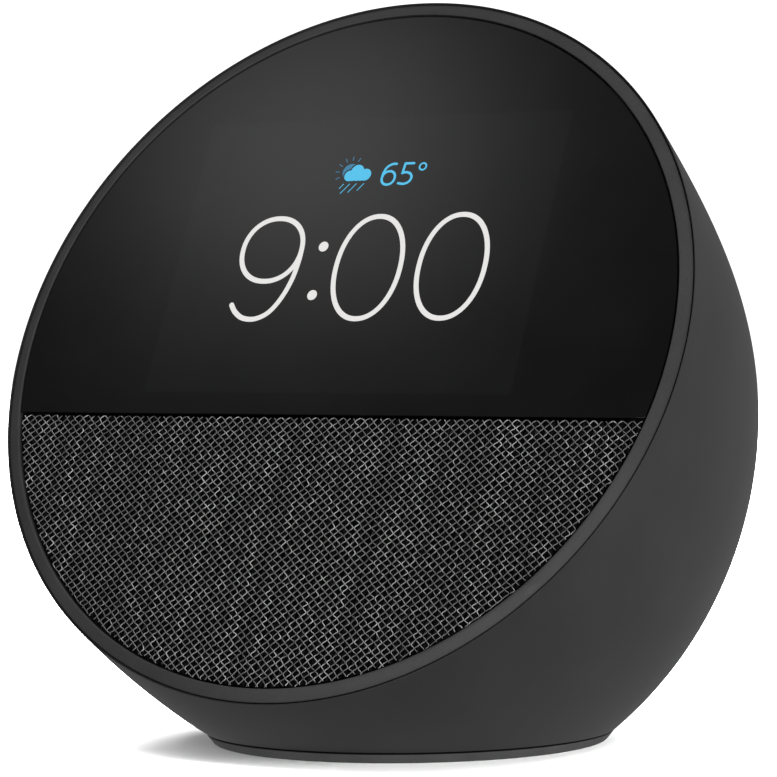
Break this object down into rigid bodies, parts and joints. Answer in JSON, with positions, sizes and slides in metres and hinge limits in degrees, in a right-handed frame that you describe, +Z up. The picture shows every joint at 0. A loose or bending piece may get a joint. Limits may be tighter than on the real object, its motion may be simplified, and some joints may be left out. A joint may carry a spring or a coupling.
{
  "type": "smart display",
  "caption": "Round table-top smart display: leaned-back circular front with glass above a fabric speaker grille, rounded shell, three top keys, rubber foot.",
  "frame": {"origin": "middle of the underside, where the rubber foot rests on the table", "axes": "+Z up, -Y towards the front face's side, +X to the right as seen from the front"},
  "size_m": [0.113, 0.1051, 0.1116],
  "materials": {
    "shell_plastic": "fine-grained matte charcoal",
    "ring_plastic": "fine-grained satin charcoal",
    "black_glass": "glossy black touch glass",
    "grille_fabric": "open knitted mesh",
    "inner_plastic": "moulded black",
    "rubber": "matte",
    "screen_light": "lit display",
    "steel": "plated",
    "aluminium": "stamped sheet",
    "copper": "copper foil and wire",
    "paper": "pressed paper pulp",
    "ferrite": "sintered",
    "circuit_board": "solder mask"
  },
  "bodies": {
    "display_body": {"rear_shell": "shell_plastic", "bezel_ring": "ring_plastic", "display_glass": "black_glass", "grille_fabric": "grille_fabric", "grille_plate": "inner_plastic", "front_chassis": "inner_plastic", "speaker_chamber": "inner_plastic", "base_plate": "inner_plastic", "light_sensor": "inner_plastic", "power_jack": "inner_plastic", "volume_down_switch": "inner_plastic", "action_switch": "inner_plastic", "volume_up_switch": "inner_plastic", "rubber_foot": "rubber", "glass_gasket": "rubber", "speaker_gasket": "rubber", "speaker_surround": "rubber", "microphone_boot_left": "rubber", "microphone_boot_right": "rubber", "speaker_lead": "rubber", "power_lead": "rubber", "display_panel": "screen_light", "backlight_unit": "steel", "speaker_basket": "steel", "speaker_top_plate": "steel", "speaker_yoke": "steel", "processor_shield": "steel", "wifi_module": "steel", "microphone_left": "steel", "microphone_right": "steel", "chassis_screw_1": "steel", "chassis_screw_2": "steel", "chassis_screw_3": "steel", "chassis_screw_4": "steel", "board_screw_1": "steel", "board_screw_2": "steel", "board_screw_3": "steel", "board_screw_4": "steel", "chamber_screw_1": "steel", "chamber_screw_2": "steel", "key_board_screw_1": "steel", "key_board_screw_2": "steel", "base_screw_1": "steel", "base_screw_2": "steel", "base_screw_3": "steel", "heat_spreader": "aluminium", "display_flex": "copper", "wifi_antenna": "copper", "speaker_magnet": "ferrite", "main_board": "circuit_board", "key_board": "circuit_board", "jack_board": "circuit_board"},
    "volume_down_key": {"volume_down_button": "shell_plastic"},
    "action_key": {"action_button": "shell_plastic"},
    "volume_up_key": {"volume_up_button": "shell_plastic"},
    "speaker_cone_unit": {"speaker_cone": "paper", "dust_cap": "paper", "voice_coil": "copper"}
  },
  "joints": [
    {"name": "volume_down_press", "type": "slide", "parent": "display_body", "child": "volume_down_key", "axis": [0, -0.527, -0.8499], "range_m": [0, 0.0005], "stiffness_N_per_m": 1500, "springref_m": -0.0003},
    {"name": "action_press", "type": "slide", "parent": "display_body", "child": "action_key", "axis": [0, -0.527, -0.8499], "range_m": [0, 0.0005], "stiffness_N_per_m": 1500, "springref_m": -0.0003},
    {"name": "volume_up_press", "type": "slide", "parent": "display_body", "child": "volume_up_key", "axis": [0, -0.527, -0.8499], "range_m": [0, 0.0005], "stiffness_N_per_m": 1500, "springref_m": -0.0003},
    {"name": "speaker_cone_travel", "type": "slide", "parent": "display_body", "child": "speaker_cone_unit", "axis": [0, -0.9052, 0.425], "range_m": [-0.001, 0.001], "stiffness_N_per_m": 1500}
  ]
}
